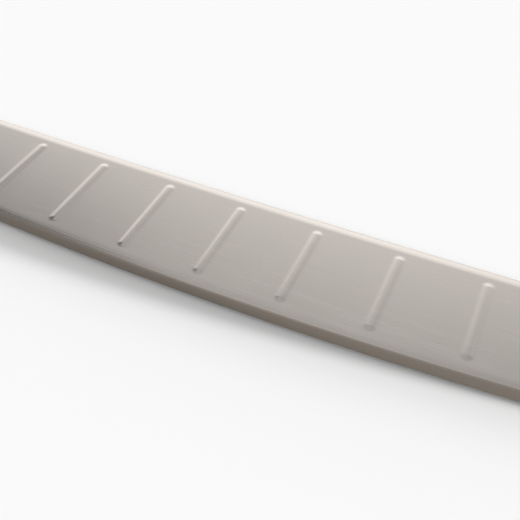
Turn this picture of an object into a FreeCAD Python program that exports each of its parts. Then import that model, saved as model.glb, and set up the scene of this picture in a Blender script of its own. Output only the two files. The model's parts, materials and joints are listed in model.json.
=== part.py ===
"""Rear bumper protector plate: one pressed sheet of brushed stainless steel.

The sheet is modelled the way it is pressed. The outer form is the block that the
sheet's upper skin would wrap, and the inner form is the block under its lower skin.
The sheet is the outer form less the inner form, trimmed to the outline of the blank.

Modelling frame, in millimetres: X runs along the bumper, Y from the front flange
to the rear edge, and Z up, with the top of the flat panel at Z = 0.
The finished plate is then laid down the way it rests on a level floor.
"""
import FreeCAD, Part
import math
import os
import Sketcher

from FreeCAD import Placement, Rotation, Vector

NODE = "protector_plate"

SIZES = {
    "plate_length": (1055.0, "end to end"),
    "plate_width": (100.5, "front face to trimmed rear edge, at mid-length"),
    "sheet_thickness": (1.0, "stainless sheet"),
    "front_radius": (3400.0, "sweep of the front face in plan"),
    "rear_radius": (10500.0, "sweep of the rear edge in plan"),
    "flange_depth": (12.5, "panel top to the flange's lower edge"),
    "fold_inner_radius": (1.2, "inside of the bend between panel and flange"),
    "lip_inner_radius": (24.0, "inside of the rolled rear edge"),
    "lip_run": (8.6, "reach of the rolled rear edge, seen in plan"),
    "rear_corner_radius": (12.0, "plan rounding of the two rear corners"),
    "flange_corner_radius": (6.0, "rounding of the flange's lower ends"),
    "rib_pitch": (65.0, "spacing of the anti-slip ribs"),
    "rib_height": (0.6, "rib crest above the panel"),
    "rib_inner_radius": (11.5, "inside of a rib's crest"),
    "rib_foot_radius": (12.4, "outside of the bend where a rib meets the panel"),
    "rib_front_gap": (15.2, "front face to the centre of a rib's round end"),
    "rib_rear_gap": (17.0, "rear edge to the centre of a rib's round end"),
    "rib_end_gap": (35.0, "least plain length past the last rib"),
    "form_margin": (20.0, "how far the forms reach past the blank"),
}

# Names for the ends of sketch geometry, and for the sketch's own origin and upright axis
START, END, CENTRE = 1, 2, 3
ORIGIN, UPRIGHT_AXIS = -1, -2

# How many points are looked at along each edge to find where the plate touches the floor
POINTS_ALONG_EDGE = 9

doc = FreeCAD.newDocument("bumper_protector")
sheet = doc.addObject("Spreadsheet::Sheet", "Sizes")
for row, (alias, (value, meaning)) in enumerate(SIZES.items(), start=1):
    sheet.set(f"A{row}", alias)
    sheet.set(f"B{row}", str(value))
    sheet.setAlias(f"B{row}", alias)
    sheet.set(f"C{row}", meaning)
doc.recompute()


def value_of(formula):
    """The present value of a formula in the driving dimensions."""
    return float(sheet.evalExpression(formula))


# Places on the two sweeps: the arcs' centres lie on the Y axis, behind the plate
FRONT_CENTRE = "(Sizes.front_radius - Sizes.plate_width / 2)"
REAR_CENTRE = "(Sizes.rear_radius + Sizes.plate_width / 2)"
HALF_LENGTH = "Sizes.plate_length / 2"
LIP_OVERHANG = "(Sizes.lip_inner_radius - Sizes.lip_run)"


def sketch_on(body, name, role):
    """A new sketch on one of the body's own origin planes."""
    sketch = body.newObject("Sketcher::SketchObject", name)
    plane = next(plane for plane in body.Origin.OriginFeatures if plane.Role == role)
    sketch.AttachmentSupport = (plane, [""])
    sketch.MapMode = "FlatFace"
    return sketch


def join_ends(sketch, *joints):
    """Makes ends of the sketch's lines and arcs meet, each joint as geometry, end, geometry, end."""
    for joint in joints:
        sketch.addConstraint(Sketcher.Constraint("Coincident", *joint))


def dimension(sketch, name, formula, kind, *where):
    """Adds a dimension that follows a formula in the driving dimensions."""
    index = sketch.addConstraint(Sketcher.Constraint(kind, *where, value_of(formula)))
    sketch.renameConstraint(index, name)
    sketch.setExpression(f"Constraints.{name}", formula)


def arc_across(centre_height, radius, reach):
    """The low arc of a large circle centred on the sketch's upright axis, reaching as far to each side."""
    middle = -math.pi / 2
    half_angle = math.asin(reach / radius)
    circle = Part.Circle(Vector(0, centre_height, 0), Vector(0, 0, 1), radius)
    return Part.ArcOfCircle(circle, middle - half_angle, middle + half_angle)


def plan_sketch(body, reach, front_radius, rear_radius):
    """The plate seen from above: front and rear arcs joined by straight ends."""
    sketch = sketch_on(body, body.Name + "_plan", "XY_Plane")
    front = arc_across(value_of(FRONT_CENTRE), value_of(front_radius), value_of(reach))
    rear = arc_across(value_of(REAR_CENTRE), value_of(rear_radius), value_of(reach))
    sketch.addGeometry(front, False)
    sketch.addGeometry(Part.LineSegment(front.EndPoint, rear.EndPoint), False)
    sketch.addGeometry(rear, False)
    sketch.addGeometry(Part.LineSegment(rear.StartPoint, front.StartPoint), False)
    join_ends(sketch, (0, END, 1, START), (1, END, 2, END), (2, START, 3, START), (3, END, 0, START))
    sketch.addConstraint(Sketcher.Constraint("PointOnObject", 0, CENTRE, UPRIGHT_AXIS))
    sketch.addConstraint(Sketcher.Constraint("PointOnObject", 2, CENTRE, UPRIGHT_AXIS))
    sketch.addConstraint(Sketcher.Constraint("Symmetric", 0, START, 0, END, UPRIGHT_AXIS))
    sketch.addConstraint(Sketcher.Constraint("Vertical", 1))
    sketch.addConstraint(Sketcher.Constraint("Vertical", 3))
    dimension(sketch, "front_centre", FRONT_CENTRE, "DistanceY", ORIGIN, START, 0, CENTRE)
    dimension(sketch, "rear_centre", REAR_CENTRE, "DistanceY", ORIGIN, START, 2, CENTRE)
    dimension(sketch, "front_sweep", front_radius, "Radius", 0)
    dimension(sketch, "rear_sweep", rear_radius, "Radius", 2)
    dimension(sketch, "span", f"2 * ({reach})", "DistanceX", 0, START, 0, END)
    return sketch


def pad(body, sketch, upward, downward):
    """Pads a plan sketch both ways from the level of the panel's top."""
    feature = body.newObject("PartDesign::Pad", body.Name + "_block")
    feature.Profile = sketch
    feature.SideType = "Two sides"
    feature.setExpression("Length", upward)
    feature.setExpression("Length2", downward)
    doc.recompute()
    return feature


def round_edges(body, name, edges, radius):
    """Rounds the given edges of the body to a radius that follows a formula."""
    names = [f"Edge{number}" for number, edge in enumerate(body.Shape.Edges, start=1)
             if any(edge.isSame(wanted) for wanted in edges)]
    base = body.Tip
    feature = body.newObject("PartDesign::Fillet", name)
    feature.Base = (base, names)
    feature.setExpression("Radius", radius)
    doc.recompute()
    return feature


def middle_of(edge):
    return edge.valueAt((edge.FirstParameter + edge.LastParameter) / 2)


def edges_along(shape, axis):
    """The edges whose ends lie on a line along the axis, to well within the sheet's thickness."""
    ends = [(edge, edge.Vertexes[-1].Point - edge.Vertexes[0].Point) for edge in shape.Edges]
    stray = value_of("Sizes.sheet_thickness")
    return [edge for edge, chord in ends if chord.Length > stray > chord.cross(axis).Length]


def rib_count():
    """As many ribs as fit between plain ends."""
    room = value_of("Sizes.plate_length - 2 * Sizes.rib_end_gap")
    return int(room / value_of("Sizes.rib_pitch")) + 1


def rib_solids(form_name, radius):
    """The bars of the anti-slip ribs: cylinders across the panel with half-round ends.

    Each bar's centre line lies under the panel, and each end keeps its own gap from
    the swept front face or rear edge.
    """
    axis_z = "Sizes.rib_height - Sizes.rib_inner_radius - Sizes.sheet_thickness"
    seam_down = Vector(0, 0, -1)
    rearward = Rotation(seam_down, Vector(-1, 0, 0), Vector(0, 1, 0), "ZXY")
    forward = Rotation(seam_down, Vector(1, 0, 0), Vector(0, -1, 0), "ZXY")
    solids = []
    count = rib_count()
    for number in range(count):
        axis_x = f"{number - (count - 1) / 2} * Sizes.rib_pitch"
        front_y = f"{FRONT_CENTRE} - sqrt(Sizes.front_radius ^ 2 - ({axis_x}) ^ 2) + Sizes.rib_front_gap"
        rear_y = f"{REAR_CENTRE} - sqrt(Sizes.rear_radius ^ 2 - ({axis_x}) ^ 2) - Sizes.rib_rear_gap"
        pieces = (
            ("Part::Cylinder", "bar", rearward, front_y),
            ("Part::Sphere", "front_end", forward, front_y),
            ("Part::Sphere", "rear_end", rearward, rear_y),
        )
        for kind, role, turn, axis_y in pieces:
            solid = doc.addObject(kind, f"{form_name}_rib_{number + 1}_{role}")
            solid.setExpression("Radius", radius)
            solid.Placement = Placement(Vector(), turn)
            solid.setExpression("Placement.Base.x", axis_x)
            solid.setExpression("Placement.Base.y", axis_y)
            solid.setExpression("Placement.Base.z", axis_z)
            if kind == "Part::Cylinder":
                solid.setExpression("Height", f"({rear_y}) - ({front_y})")
            else:
                solid.Angle1 = 0
            solids.append(solid)
    return solids


def pressed_form(name, inset, margin):
    """The block that one skin of the sheet wraps, its faces set in from the upper skin by inset."""
    front_radius = f"Sizes.front_radius - {inset}"
    rear_radius = f"Sizes.rear_radius - {LIP_OVERHANG} - Sizes.sheet_thickness + {inset}"
    block = doc.addObject("PartDesign::Body", name + "_block")
    pad(block, plan_sketch(block, f"{HALF_LENGTH} + {margin}", front_radius, rear_radius),
        f"-{inset}", f"Sizes.flange_depth + {margin}")

    ribbed = doc.addObject("Part::MultiFuse", name + "_with_ribs")
    ribs = rib_solids(name, f"Sizes.rib_inner_radius + Sizes.sheet_thickness - {inset}")
    ribbed.Shapes = [block] + ribs
    doc.recompute()

    form = doc.addObject("PartDesign::Body", name)
    form.BaseFeature = ribbed
    doc.recompute()
    panel = panel_face(form)
    rib_feet = [edge for wire in panel.Wires if not wire.isSame(panel.OuterWire) for edge in wire.Edges]
    round_edges(form, name + "_rib_feet", rib_feet, f"Sizes.rib_foot_radius + {inset}")
    round_edges(form, name + "_fold", [long_edges(form)[0]],
                f"Sizes.fold_inner_radius + Sizes.sheet_thickness - {inset}")
    round_edges(form, name + "_lip", [long_edges(form)[-1]],
                f"Sizes.lip_inner_radius + Sizes.sheet_thickness - {inset}")
    return form


def panel_face(form):
    """The flat of the panel, which is the one face that the ribs' outlines pierce."""
    return max(form.Shape.Faces, key=lambda face: len(face.Wires))


def long_edges(form):
    """The panel's two swept edges, the front one first."""
    longest = sorted(panel_face(form).OuterWire.Edges, key=lambda edge: edge.Length)[-2:]
    return sorted(longest, key=lambda edge: middle_of(edge).y)


def blank_outline():
    """The trimmed outline: ends, rear edge and the flange's lower edge, with rounded corners."""
    blank = doc.addObject("PartDesign::Body", "blank")
    clear_of_front = "Sizes.front_radius + Sizes.form_margin"
    pad(blank, plan_sketch(blank, HALF_LENGTH, clear_of_front, "Sizes.rear_radius"),
        "Sizes.form_margin", "Sizes.flange_depth")
    upright = edges_along(blank.Shape, Vector(0, 0, 1))
    rear_corners = sorted(upright, key=lambda edge: middle_of(edge).y)[-2:]
    round_edges(blank, "rear_corners", rear_corners, "Sizes.rear_corner_radius")
    across = edges_along(blank.Shape, Vector(0, 1, 0))
    flange_corners = sorted(across, key=lambda edge: middle_of(edge).z)[:2]
    round_edges(blank, "flange_corners", flange_corners, "Sizes.flange_corner_radius")
    return blank


def resting_tilt(shape):
    """The turn about X at which the plate rests, from the points that lie lowest under its weight."""
    points = sorted({(point.y, point.z) for edge in shape.Edges for point in edge.discretize(POINTS_ALONG_EDGE)})
    lower = []
    for point in points:
        while len(lower) > 1 and turns_down(lower[-2], lower[-1], point):
            lower.pop()
        lower.append(point)
    weight_y = shape.CenterOfGravity.y
    for front, rear in zip(lower, lower[1:]):
        if front[0] <= weight_y <= rear[0]:
            return math.atan2(rear[1] - front[1], rear[0] - front[0])
    raise RuntimeError("the plate has no resting points under its weight")


def turns_down(first, second, third):
    """Whether the middle one of three points lies on or above the line between the others."""
    run, rise = third[0] - first[0], third[1] - first[1]
    return (second[1] - first[1]) * run >= rise * (second[0] - first[0])


outer_form = pressed_form("outer_form", "0", "Sizes.form_margin")
inner_form = pressed_form("inner_form", "Sizes.sheet_thickness", "2 * Sizes.form_margin")
skin = doc.addObject("Part::Cut", "pressed_skin")
skin.Base = outer_form
skin.Tool = inner_form
plate = doc.addObject("Part::Common", NODE)
plate.Base = skin
plate.Tool = blank_outline()
plate.Label = NODE
doc.recompute()

level = Rotation(Vector(1, 0, 0), -math.degrees(resting_tilt(plate.Shape)))
plate.Placement = Placement(Vector(), level)
doc.recompute()
box = plate.Shape.optimalBoundingBox(False, False)
plate.Placement = Placement(Vector(-box.Center.x, -box.Center.y, -box.ZMin), level)
doc.recompute()

for item in doc.Objects:
    if "Invalid" in item.State or "Error" in item.State:
        raise RuntimeError(f"{item.Name} failed: {item.State}")
if plate.Shape.isNull() or not plate.Shape.isValid() or len(plate.Shape.Solids) != 1:
    raise RuntimeError("the plate is not one valid solid")
os.makedirs("parts", exist_ok=True)
plate.Shape.exportStep(f"parts/{plate.Label}.step")
print(f"{plate.Label}: {plate.Shape.Volume:.0f} mm3 of steel, box {plate.Shape.BoundBox}")
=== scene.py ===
"""Rear bumper protector plate of brushed stainless steel, lying on a pale studio floor.

The plate's own lines are worked out here in the press's frame, in millimetres: X along
the bumper, Y from the front flange to the rear edge, Z up from the top of the flat panel.
One matrix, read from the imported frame, then lays the plate down as it rests.
"""

import json
import math

import bmesh
import bpy
from mathutils import Euler, Matrix, Vector


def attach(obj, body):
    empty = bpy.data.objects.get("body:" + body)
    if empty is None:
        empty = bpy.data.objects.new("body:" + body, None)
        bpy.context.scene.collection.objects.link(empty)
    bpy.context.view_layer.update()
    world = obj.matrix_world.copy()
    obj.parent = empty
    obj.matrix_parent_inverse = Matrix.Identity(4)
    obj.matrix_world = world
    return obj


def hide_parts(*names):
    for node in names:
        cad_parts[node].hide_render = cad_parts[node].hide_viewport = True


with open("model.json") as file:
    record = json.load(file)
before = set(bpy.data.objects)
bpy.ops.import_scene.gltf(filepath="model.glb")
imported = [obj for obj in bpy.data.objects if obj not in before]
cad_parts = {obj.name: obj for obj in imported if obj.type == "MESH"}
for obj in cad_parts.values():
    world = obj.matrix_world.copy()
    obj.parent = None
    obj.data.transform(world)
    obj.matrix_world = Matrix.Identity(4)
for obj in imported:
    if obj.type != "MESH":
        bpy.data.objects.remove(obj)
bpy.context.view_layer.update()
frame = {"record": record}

MM = 0.001
NODE = "protector_plate"

# The pressed sheet, in millimetres. A bend's radius is that of its upper skin.
PLATE_LENGTH = 1055.0
PLATE_WIDTH = 100.5
SHEET = 1.0
FRONT_RADIUS = 3400.0
REAR_RADIUS = 10500.0
FLANGE_DEPTH = 12.5
FOLD_RADIUS = 1.2 + SHEET
LIP_RADIUS = 24.0 + SHEET
LIP_RUN = 8.6
REAR_CORNER = 12.0
FLANGE_CORNER = 6.0

# The ribs: a round crest whose centre lies sunk below the panel, and a round foot on each side
RIB_PITCH = 65.0
RIB_COUNT = 16
RIB_HEIGHT = 0.6
RIB_CREST = 11.5 + SHEET
RIB_FOOT = 12.4
RIB_FRONT_GAP = 15.2
RIB_REAR_GAP = 17.0
RIB_PLACES = [(number - (RIB_COUNT - 1) / 2) * RIB_PITCH for number in range(RIB_COUNT)]
RIB_SUNK = RIB_CREST - RIB_HEIGHT
RIB_REACH = math.sqrt((RIB_CREST + RIB_FOOT) ** 2 - (RIB_SUNK + RIB_FOOT) ** 2)

# Fine relief that the solid leaves out. The panel droops by a tenth of a millimetre before the
# fold, where the sheet is drawn over the press's edge, so the fold begins softly.
DROOP_RADIUS = 120.0
DROOP_TURN = math.radians(2.5)
DROOP_REACH = FOLD_RADIUS + (DROOP_RADIUS - FOLD_RADIUS) * math.sin(DROOP_TURN)
FOLD_CENTRE = (DROOP_RADIUS - FOLD_RADIUS) * math.cos(DROOP_TURN) - DROOP_RADIUS
# The cut edges are deburred, and finishing takes a little off the ends and the rear edge
DEBURRED_EDGE = 0.18
DEBURRED_ANGLE = math.radians(50)
DEBURRED_STEPS = 2
FILED_OFF = 0.03

# The brushing, in millimetres. Real scratches lie about 0.1 mm apart, and these are drawn
# coarser so that they show.
SCRATCH_LENGTH = 45.0
SCRATCH_SPACING = 0.7
SCRATCH_DEPTH = 0.02
BELT_PASS_LENGTH = 260.0
BELT_PASS_WIDTH = 7.0
HAND_PATCH = 55.0
# How much rougher the dullest belt pass and the dullest hand patch are than the rest
BELT_DULLING = 0.08
HAND_DULLING = 0.04
# How squarely a surface faces forward, as the flange does, where its painted shade starts and where it is
# full
PAINTED_SHADE_STARTS = 0.55
PAINTED_SHADE_FULL = 0.98

# How closely the mesh follows the curves, as numbers of steps
FLANGE_CORNER_STEPS = 14
FOLD_STEPS = 10
DROOP_STEPS = 6
RIB_SIDE_STEPS = 11
MIDDLE_STEPS = 6
REAR_CORNER_STEPS = 20
BETWEEN_RIBS_STEPS = 4
END_STEPS = 10
# A row just below the fold, and the least space between two rows at the rear edge
BELOW_FOLD = 1.0
LEAST_SPACE = 0.2

# The photograph's camera, in the press's frame
CAMERA_PLACE = Vector((217.23, -313.68, 364.37))
CAMERA_TURNS = Euler((0.7503, 0.0, 0.4507))
CAMERA_ROLL = -0.0123
FOCAL_PIXELS = 675.0
IMAGE_PIXELS = 520.0
SENSOR_MM = 36.0
NEAREST_SEEN_M = 0.01

# The room's light, as shares that multiply. Each line has what is measured, where a soft change
# starts and ends, and the share at both. Rise is in degrees, from 0 at the foot of the back wall
# over 90 overhead to 180 at the foot of the front. Side goes from -1 at the left to 1 at the right.
ROOM_LIGHT = [
    # Bright low down at the back, and dim towards the ceiling
    ("rise", 22.0, 50.5, 1.90, 0.52),
    # Brighter again overhead and at the front
    ("rise", 50.0, 66.0, 1.0, 1.45),
    # Dimmer towards the right and at the far left
    ("side", -0.20, 0.60, 1.0, 0.65),
    ("side", -0.65, -0.84, 1.0, 0.68),
]
# A dim corner up at the left, mirrored in the near left part of the panel, and how dim it is
DIM_CORNER = [
    ("side", -0.38, -0.60, 0.0, 1.0),
    ("rise", 43.0, 50.0, 0.0, 1.0),
    ("rise", 48.0, 100.0, 1.0, 0.55),
]
DIMNESS = 0.9
# The room between its two white end walls
BETWEEN_WALLS = [
    ("side", -0.95, -0.87, 0.0, 1.0),
    ("side", 0.25, 0.55, 1.0, 0.0),
]
WALL_LIGHT = 1.0

# The lamp stands far off at the right: its turn from straight back, rise and width in degrees
LAMP_TURN = -83.5
LAMP_RISE = 5.0
LAMP_WIDTH = 4.0
LAMP_STRENGTH = 9.5
FLOOR_SIZE_M = 60.0


def front_edge(along):
    """The front face of the flange, swept in plan."""
    centre = FRONT_RADIUS - PLATE_WIDTH / 2
    return centre - math.sqrt(FRONT_RADIUS ** 2 - along ** 2)


def rear_edge(along):
    """The trimmed rear edge, swept more gently."""
    centre = REAR_RADIUS + PLATE_WIDTH / 2
    return centre - math.sqrt(REAR_RADIUS ** 2 - along ** 2) - FILED_OFF


def rib_rise(along, across, inset):
    """How far the nearest rib lifts a skin of the sheet, with a round end at the front and rear."""
    place = min(RIB_PLACES, key=lambda rib: abs(rib - along))
    first = front_edge(place) + RIB_FRONT_GAP
    last = rear_edge(place) - RIB_REAR_GAP
    past_end = max(first - across, across - last, 0.0)
    aside = math.hypot(along - place, past_end)
    crest = RIB_CREST - inset
    foot = RIB_FOOT + inset
    turn = RIB_REACH * crest / (crest + foot)
    if aside >= RIB_REACH:
        return 0.0
    if aside <= turn:
        return math.sqrt(crest ** 2 - aside ** 2) - (RIB_SUNK - inset)
    return foot - math.sqrt(foot ** 2 - (RIB_REACH - aside) ** 2)


def lip_drop(along, across, inset):
    """How far the rolled rear edge falls below the panel."""
    past_bend = max(across - (rear_edge(along) - LIP_RUN), 0.0)
    radius = LIP_RADIUS - inset
    return radius - math.sqrt(radius ** 2 - past_bend ** 2)


def bend_point(along, centre_y, centre_z, radius, turn):
    """A point on a bend that runs along the plate, turned from straight up towards the front."""
    return Vector((along, centre_y - radius * math.sin(turn), centre_z + radius * math.cos(turn)))


def skin_point(kind, measure, along, inset):
    """A point of the upper skin, or of the lower one when inset is the sheet's thickness."""
    front, rear = front_edge(along), rear_edge(along)
    if kind == "flange":
        return Vector((along, front + inset, measure - FLANGE_DEPTH))
    if kind == "fold":
        return bend_point(along, front + FOLD_RADIUS, FOLD_CENTRE, FOLD_RADIUS - inset, measure)
    if kind == "droop":
        return bend_point(along, front + DROOP_REACH, -DROOP_RADIUS, DROOP_RADIUS - inset, measure)
    if kind == "front":
        across = front + measure
    elif kind == "rear":
        across = rear - measure
    else:
        across = (front + RIB_FRONT_GAP) * (1 - measure) + (rear - RIB_REAR_GAP) * measure
    height = rib_rise(along, across, inset) - lip_drop(along, across, inset) - inset
    return Vector((along, across, height))


def even_steps(first, last, steps):
    return [first + (last - first) * step / steps for step in range(steps + 1)]


def corner_steps(radius, steps):
    """Distances in from an edge, spaced so that a corner of that radius comes out round."""
    return [radius * (1 - math.cos(turn)) for turn in even_steps(0.0, math.pi / 2, steps)]


def sheet_rows():
    """The rows of the mesh, from the flange's lower edge over the fold and panel to the rear edge.

    Each row is a pair: how its place across the sheet is measured, and the measure.
    """
    front_end = even_steps(RIB_FRONT_GAP - RIB_REACH, RIB_FRONT_GAP, RIB_SIDE_STEPS)
    rear_end = even_steps(RIB_REAR_GAP, RIB_REAR_GAP - RIB_REACH, RIB_SIDE_STEPS)
    rear_corner = reversed(corner_steps(REAR_CORNER, REAR_CORNER_STEPS))
    rows = [("flange", step) for step in corner_steps(FLANGE_CORNER, FLANGE_CORNER_STEPS)]
    rows += [("flange", FLANGE_DEPTH - FOLD_RADIUS - BELOW_FOLD)]
    rows += [("fold", turn) for turn in even_steps(math.pi / 2, DROOP_TURN, FOLD_STEPS)]
    rows += [("droop", turn) for turn in even_steps(DROOP_TURN, 0.0, DROOP_STEPS)[1:]]
    rows += [("front", step) for step in front_end]
    rows += [("middle", share) for share in even_steps(0.0, 1.0, MIDDLE_STEPS)[1:-1]]
    rows += [("rear", step) for step in rear_end]
    rows += [("rear", step) for step in rear_corner if step < rear_end[-1] - LEAST_SPACE]
    return rows


def sheet_columns():
    """Places along the middle part of the sheet, close together over each rib."""
    columns = []
    for place in RIB_PLACES:
        columns += even_steps(place - RIB_REACH, place + RIB_REACH, 2 * RIB_SIDE_STEPS)
        if place != RIB_PLACES[-1]:
            next_rib = place + RIB_PITCH
            columns += even_steps(place + RIB_REACH, next_rib - RIB_REACH, BETWEEN_RIBS_STEPS)[1:-1]
    return columns


def end_reach(kind, measure):
    """Half the sheet's length at a row: the full half but for the rounded corners."""
    corner = {"flange": FLANGE_CORNER, "rear": REAR_CORNER}.get(kind, 0.0)
    full_reach = PLATE_LENGTH / 2 - FILED_OFF
    if measure >= corner:
        return full_reach
    return full_reach - corner + math.sqrt(corner ** 2 - (corner - measure) ** 2)


def row_places(kind, measure):
    """Every place along one row, with the last steps drawn out to the row's own end."""
    middle = sheet_columns()
    ends = even_steps(middle[-1], end_reach(kind, measure), END_STEPS)[1:]
    return [-place for place in reversed(ends)] + middle + ends


def plate_matrix():
    """Lays the press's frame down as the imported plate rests, from the bonding face's place and slope."""
    face = next(mount for mount in frame["record"]["mounts"] if mount["name"] == "bonding_face")
    slope = math.atan2(face["axis"][1], -face["axis"][2])
    turn = Matrix.Rotation(slope, 4, "X")
    underside = turn @ Vector((0.0, 0.0, -SHEET * MM))
    return Matrix.Translation(Vector(face["pos_m"]) - underside) @ turn


def rims(skin):
    """The four rims of a skin: the flange's lower edge, the rear edge and the two ends."""
    return [skin[0], skin[-1], [row[0] for row in skin], [row[-1] for row in skin]]


def pressed_sheet():
    """The whole sheet as one closed mesh: two skins, and the cut edge between them."""
    mesh = bpy.data.meshes.new("pressed_plate")
    bm = bmesh.new()
    lay_down = plate_matrix() @ Matrix.Scale(MM, 4)
    rows = [(kind, measure, row_places(kind, measure)) for kind, measure in sheet_rows()]
    skins = [[[bm.verts.new(lay_down @ skin_point(kind, measure, along, inset)) for along in places]
              for kind, measure, places in rows] for inset in (0.0, SHEET)]
    strips = [strip for skin in skins for strip in zip(skin, skin[1:])]
    strips += zip(rims(skins[0]), rims(skins[1]))
    for one, other in strips:
        for corner in range(len(one) - 1):
            bm.faces.new((one[corner], one[corner + 1], other[corner + 1], other[corner]))
    bmesh.ops.recalc_face_normals(bm, faces=bm.faces)
    bm.to_mesh(mesh)
    bm.free()
    mesh.shade_smooth()
    return mesh


def deburr(plate):
    """Takes the sharpness off the cut edges, as a maker does before the sheet is handled."""
    edge = plate.modifiers.new("deburred_edge", "BEVEL")
    edge.width = DEBURRED_EDGE * MM
    edge.segments = DEBURRED_STEPS
    edge.limit_method = "ANGLE"
    edge.angle_limit = DEBURRED_ANGLE
    edge.harden_normals = True


def pressed_plate(material):
    mesh = pressed_sheet()
    mesh.materials.append(material)
    plate = bpy.data.objects.new("pressed_plate", mesh)
    bpy.context.scene.collection.objects.link(plate)
    deburr(plate)
    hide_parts(NODE)
    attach(plate, "root")


def colour(hex_code):
    """Turns an sRGB hex colour to the linear values that shaders take."""
    parts = [int(hex_code[place:place + 2], 16) / 255 for place in (1, 3, 5)]
    linear = [part / 12.92 if part <= 0.04045 else ((part + 0.055) / 1.055) ** 2.4 for part in parts]
    return (*linear, 1.0)


def add(tree, kind, inputs=None, **settings):
    """Adds a node with its settings. An input given as a socket is linked, and any other is set."""
    node = tree.nodes.new(kind)
    for name, value in settings.items():
        setattr(node, name, value)
    for name, value in (inputs or {}).items():
        socket = node.inputs[name]
        if isinstance(value, bpy.types.NodeSocket):
            tree.links.new(value, socket)
        else:
            socket.default_value = value
    return node


def fresh_tree(owner):
    owner.use_nodes = True
    owner.node_tree.nodes.clear()
    return owner.node_tree


def brushed_stainless():
    """Cold-rolled stainless sheet, belt-brushed along its length before it is pressed.

    The brushing leaves fine straight scratches that follow the blank, over the fold and ribs.
    They spread a reflection across the grain and keep it short along the grain, which gives
    the soft satin bands, and they vary a little in depth, which gives the faint streaks.
    """
    material = bpy.data.materials.new("brushed_stainless_steel")
    tree = fresh_tree(material)
    # The pattern lies in the press's frame, in millimetres, so that it follows the sheet
    place = add(tree, "ShaderNodeTexCoord").outputs["Object"]
    shift, turn, scale = (plate_matrix() @ Matrix.Scale(MM, 4)).inverted().decompose()
    flat = add(tree, "ShaderNodeMapping", {
        "Vector": place, "Location": shift, "Rotation": turn.to_euler(), "Scale": scale})
    axes = add(tree, "ShaderNodeSeparateXYZ", {"Vector": flat.outputs["Vector"]})
    # Across the blank as it was before folding: on along the panel, or down the flange
    across = add(tree, "ShaderNodeMath", {0: axes.outputs["Y"], 1: axes.outputs["Z"]}, operation="ADD")

    def streaks(length, spacing, detail):
        """Noise drawn out along the grain, from a streak's length and the space to the next one."""
        along = add(tree, "ShaderNodeMath", {0: axes.outputs["X"], 1: length}, operation="DIVIDE")
        aside = add(tree, "ShaderNodeMath", {0: across.outputs[0], 1: spacing}, operation="DIVIDE")
        spot = add(tree, "ShaderNodeCombineXYZ", {"X": along.outputs[0], "Y": aside.outputs[0]})
        return add(tree, "ShaderNodeTexNoise", {
            "Vector": spot.outputs[0], "Scale": 1.0, "Detail": detail, "Roughness": 0.6}).outputs["Fac"]

    scratches = streaks(SCRATCH_LENGTH, SCRATCH_SPACING, detail=3.0)
    # The belt's passes differ a little in polish, which shows as broad faint stripes
    belt_passes = streaks(BELT_PASS_LENGTH, BELT_PASS_WIDTH, detail=2.0)
    # Hands leave faint dull patches, which keep a reflection from looking quite even
    hand_patches = add(tree, "ShaderNodeTexNoise", {
        "Vector": flat.outputs["Vector"], "Scale": 1 / HAND_PATCH, "Detail": 2.0}).outputs["Fac"]

    # The flange's face, and whatever faces forward like it, is painted a darker grey: painted shade for
    # the dim floor in front that the flange mirrors
    normal = add(tree, "ShaderNodeNewGeometry").outputs["Normal"]
    flange_way = plate_matrix().to_3x3() @ Vector((0.0, -1.0, 0.0))
    facing = add(tree, "ShaderNodeVectorMath", {0: normal, 1: flange_way}, operation="DOT_PRODUCT")
    flange_painted_shade = add(tree, "ShaderNodeMapRange", {
        "Value": facing.outputs["Value"], "From Min": PAINTED_SHADE_STARTS, "From Max": PAINTED_SHADE_FULL})
    satin = add(tree, "ShaderNodeMix", {
        "Factor": scratches, "A": colour("#b8b2ac"), "B": colour("#c0bab4")}, data_type="RGBA")
    # The dark grey here is painted shade on the forward-facing flange, not the steel's own colour
    tone = add(tree, "ShaderNodeMix", {
        "Factor": flange_painted_shade.outputs[0], "A": satin.outputs["Result"], "B": colour("#867d73")},
        data_type="RGBA")

    # Deep scratches scatter more light, so they are rougher, and the passes and patches add to that
    polish = add(tree, "ShaderNodeMapRange", {
        "Value": scratches, "From Min": 0.25, "From Max": 0.75, "To Min": 0.16, "To Max": 0.22})
    striped = add(tree, "ShaderNodeMath", {
        0: belt_passes, 1: BELT_DULLING, 2: polish.outputs[0]}, operation="MULTIPLY_ADD")
    rough = add(tree, "ShaderNodeMath", {
        0: hand_patches, 1: HAND_DULLING, 2: striped.outputs[0]}, operation="MULTIPLY_ADD")
    grain = add(tree, "ShaderNodeBump", {
        "Height": scratches, "Strength": 0.04, "Distance": SCRATCH_DEPTH * MM})
    # The grain runs along the plate, so a reflection is drawn out at right angles to it
    across_grain = add(tree, "ShaderNodeVectorMath", {0: normal, 1: (1.0, 0.0, 0.0)},
                       operation="CROSS_PRODUCT")
    steel = add(tree, "ShaderNodeBsdfPrincipled", {
        "Base Color": tone.outputs["Result"], "Metallic": 1.0, "Roughness": rough.outputs[0],
        "Anisotropic": 0.6, "Tangent": across_grain.outputs["Vector"], "Normal": grain.outputs["Normal"]})
    add(tree, "ShaderNodeOutputMaterial", {"Surface": steel.outputs[0]})
    return material


def studio_floor():
    """A smooth white tabletop, matt enough to take only a soft shadow."""
    material = bpy.data.materials.new("matt_white_tabletop")
    tree = fresh_tree(material)
    matt = add(tree, "ShaderNodeBsdfDiffuse", {"Color": colour("#f7f7f7")})
    add(tree, "ShaderNodeOutputMaterial", {"Surface": matt.outputs[0]})
    bpy.ops.mesh.primitive_plane_add(size=FLOOR_SIZE_M)
    floor = bpy.context.object
    floor.name = "tabletop"
    floor.data.materials.append(material)


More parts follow.
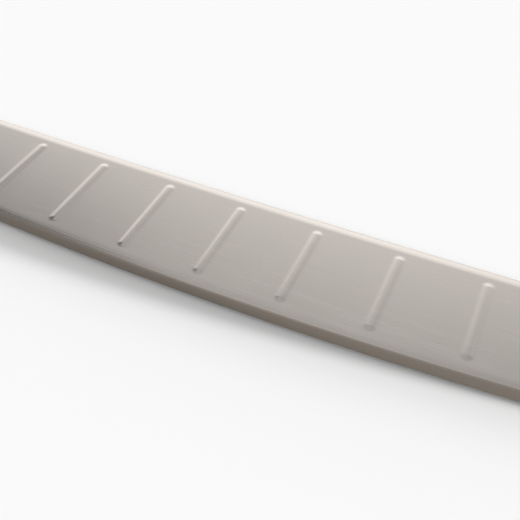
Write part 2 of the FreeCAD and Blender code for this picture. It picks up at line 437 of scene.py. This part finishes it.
def studio_room():
    """A white room lit from low down at the back, whose light the metal mirrors."""
    world = bpy.data.worlds.new("studio_room")
    bpy.context.scene.world = world
    tree = fresh_tree(world)
    way = add(tree, "ShaderNodeSeparateXYZ", {
        "Vector": add(tree, "ShaderNodeTexCoord").outputs["Generated"]}).outputs
    turn = add(tree, "ShaderNodeMath", {0: way["Z"], 1: way["Y"]}, operation="ARCTAN2")
    rise = add(tree, "ShaderNodeMath", {0: turn.outputs[0]}, operation="DEGREES")
    measures = {"rise": rise.outputs[0], "side": way["X"]}

    def share_of(changes):
        """The share of light in a direction, as the product of soft changes across the room."""
        share = 1.0
        for measure, first, last, start, end in changes:
            change = add(tree, "ShaderNodeMapRange", {
                "Value": measures[measure], "From Min": first, "From Max": last,
                "To Min": start, "To Max": end}, interpolation_type="SMOOTHSTEP")
            part = add(tree, "ShaderNodeMath", {0: share, 1: change.outputs[0]}, operation="MULTIPLY")
            share = part.outputs[0]
        return share

    corner = add(tree, "ShaderNodeMath", {
        0: share_of(DIM_CORNER), 1: -DIMNESS, 2: 1.0}, operation="MULTIPLY_ADD")
    room = add(tree, "ShaderNodeMath", {
        0: share_of(ROOM_LIGHT), 1: corner.outputs[0]}, operation="MULTIPLY")
    level = add(tree, "ShaderNodeMix", {
        "Factor": share_of(BETWEEN_WALLS), "A": WALL_LIGHT, "B": room.outputs[0]}, data_type="FLOAT")
    light = add(tree, "ShaderNodeBackground", {
        "Color": colour("#ffffff"), "Strength": level.outputs["Result"]})
    add(tree, "ShaderNodeOutputWorld", {"Surface": light.outputs[0]})


def side_lamp():
    """A soft lamp far off at the right, so low that the plate shades the floor before its flange."""
    lamp = bpy.data.lights.new("side_lamp", "SUN")
    lamp.energy = LAMP_STRENGTH
    lamp.angle = math.radians(LAMP_WIDTH)
    stand = bpy.data.objects.new("side_lamp", lamp)
    raised = Matrix.Rotation(math.radians(LAMP_RISE), 3, "X") @ Vector((0.0, 1.0, 0.0))
    towards = Matrix.Rotation(math.radians(LAMP_TURN), 3, "Z") @ raised
    stand.rotation_euler = (-towards).to_track_quat("-Z", "Y").to_euler()
    bpy.context.scene.collection.objects.link(stand)


def photo_camera():
    """The photograph's own view of the plate, set in the press's frame and laid down with it."""
    lens = bpy.data.cameras.new("photo_camera")
    lens.sensor_width = SENSOR_MM
    lens.lens = FOCAL_PIXELS / IMAGE_PIXELS * SENSOR_MM
    lens.clip_start = NEAREST_SEEN_M
    camera = bpy.data.objects.new("photo_camera", lens)
    aim = CAMERA_TURNS.to_matrix().to_4x4() @ Matrix.Rotation(CAMERA_ROLL, 4, "Z")
    camera.matrix_world = plate_matrix() @ Matrix.Translation(CAMERA_PLACE * MM) @ aim
    bpy.context.scene.collection.objects.link(camera)
    bpy.context.scene.camera = camera


pressed_plate(brushed_stainless())
studio_floor()
studio_room()
side_lamp()
photo_camera()
bpy.context.scene.view_settings.view_transform = "Standard"
